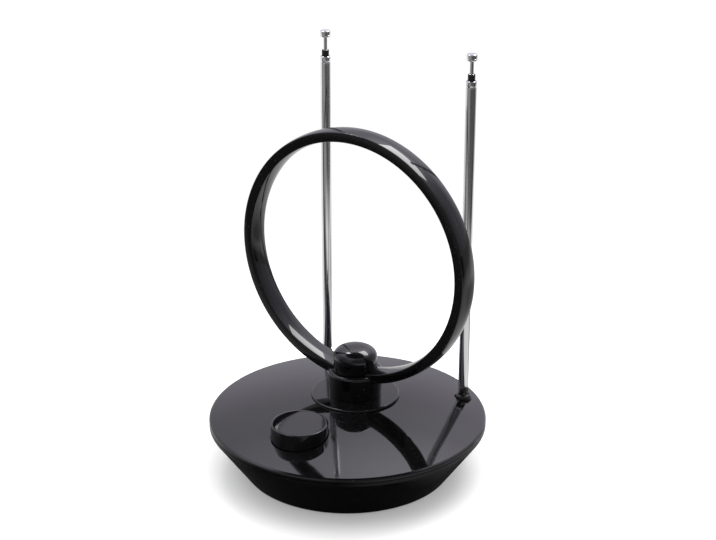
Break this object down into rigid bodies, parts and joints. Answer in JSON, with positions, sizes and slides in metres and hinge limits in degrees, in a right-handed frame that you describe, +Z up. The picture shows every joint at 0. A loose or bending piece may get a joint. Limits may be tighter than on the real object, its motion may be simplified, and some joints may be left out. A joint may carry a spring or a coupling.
{
  "type": "indoor tv antenna",
  "caption": "Indoor television antenna: weighted round base, swivelling loop on a post, gain knob and folding telescopic rods.",
  "frame": {"origin": "on the axis of the round base, at floor level", "axes": "+Z up, -Y towards the front with the gain knob, +X to the right seen from the front"},
  "size_m": [0.17, 0.17, 0.2574],
  "materials": {
    "gloss_black": "polished moulded plastic",
    "rod_black": "satin moulded plastic",
    "rod_chrome": "bright chrome plate",
    "rubber": "matt",
    "zinc_steel": "zinc plated",
    "tinned_steel": "tinned",
    "board_green": "solder mask",
    "part_black": "moulded",
    "nickel": "nickel plated brass",
    "white_plastic": "moulded",
    "copper": "bare copper",
    "brass": "turned"
  },
  "bodies": {
    "base": {"top_cover": "gloss_black", "base_tray": "gloss_black", "rubber_feet": "rubber", "case_screws": "zinc_steel", "ballast_plate": "zinc_steel", "circuit_board": "board_green", "board_screws": "zinc_steel", "shield_can": "tinned_steel", "board_parts": "part_black", "coax_socket": "nickel", "coax_nut": "nickel", "coax_insulator": "white_plastic", "power_jack": "part_black", "power_pin": "nickel", "gain_control": "part_black", "control_nut": "zinc_steel"},
    "knob": {"gain_shaft": "zinc_steel", "gain_knob": "gloss_black"},
    "loop": {"turntable": "gloss_black", "loop_post": "gloss_black", "post_cap": "gloss_black", "loop_front": "gloss_black", "loop_rear": "gloss_black", "loop_strip": "copper", "feed_wires": "copper", "hub_washer": "zinc_steel", "hub_screws": "zinc_steel"},
    "foot_left": {"rod_foot_left": "rod_black", "foot_washer_left": "brass", "foot_screw_left": "zinc_steel", "hinge_pin_left": "rod_chrome"},
    "arm_left": {"rod_tongue_left": "rod_chrome", "rod_tube_left": "rod_chrome"},
    "second_left": {"rod_second_left": "rod_chrome", "rod_collar_left": "rod_black"},
    "third_left": {"rod_third_left": "rod_chrome"},
    "inner_left": {"rod_inner_left": "rod_chrome", "rod_tip_left": "rod_chrome"},
    "foot_right": {"rod_foot_right": "rod_black", "foot_washer_right": "brass", "foot_screw_right": "zinc_steel", "hinge_pin_right": "rod_chrome"},
    "arm_right": {"rod_tongue_right": "rod_chrome", "rod_tube_right": "rod_chrome"},
    "second_right": {"rod_second_right": "rod_chrome", "rod_collar_right": "rod_black"},
    "third_right": {"rod_third_right": "rod_chrome"},
    "inner_right": {"rod_inner_right": "rod_chrome", "rod_tip_right": "rod_chrome"}
  },
  "joints": [
    {"name": "loop_swivel", "type": "hinge", "parent": "base", "child": "loop", "pos_m": [0, 0.0085, 0.0462], "axis": [0, 0, 1], "range_deg": [-25, 25]},
    {"name": "gain_turn", "type": "hinge", "parent": "base", "child": "knob", "pos_m": [0, -0.0505, 0.0499], "axis": [0, 0, 1], "range_deg": [-140, 140]},
    {"name": "foot_swivel_left", "type": "hinge", "parent": "base", "child": "foot_left", "pos_m": [-0.05133, 0.0526, 0.037], "axis": [0, 0, 1], "range_deg": [-45, 45]},
    {"name": "rod_fold_left", "type": "hinge", "parent": "foot_left", "child": "arm_left", "pos_m": [-0.05133, 0.0526, 0.04176], "axis": [-0.7071, -0.7071, 0], "range_deg": [0, 85]},
    {"name": "second_slide_left", "type": "slide", "parent": "arm_left", "child": "second_left", "axis": [0, 0, 1], "range_m": [0, 0.17]},
    {"name": "third_slide_left", "type": "slide", "parent": "second_left", "child": "third_left", "axis": [0, 0, 1], "range_m": [0, 0.165]},
    {"name": "inner_slide_left", "type": "slide", "parent": "third_left", "child": "inner_left", "axis": [0, 0, 1], "range_m": [0, 0.17]},
    {"name": "foot_swivel_right", "type": "hinge", "parent": "base", "child": "foot_right", "pos_m": [0.05133, 0.0526, 0.037], "axis": [0, 0, 1], "range_deg": [-45, 45]},
    {"name": "rod_fold_right", "type": "hinge", "parent": "foot_right", "child": "arm_right", "pos_m": [0.05133, 0.0526, 0.04176], "axis": [-0.7071, 0.7071, 0], "range_deg": [0, 85]},
    {"name": "second_slide_right", "type": "slide", "parent": "arm_right", "child": "second_right", "axis": [0, 0, 1], "range_m": [0, 0.17]},
    {"name": "third_slide_right", "type": "slide", "parent": "second_right", "child": "third_right", "axis": [0, 0, 1], "range_m": [0, 0.165]},
    {"name": "inner_slide_right", "type": "slide", "parent": "third_right", "child": "inner_right", "axis": [0, 0, 1], "range_m": [0, 0.17]}
  ]
}
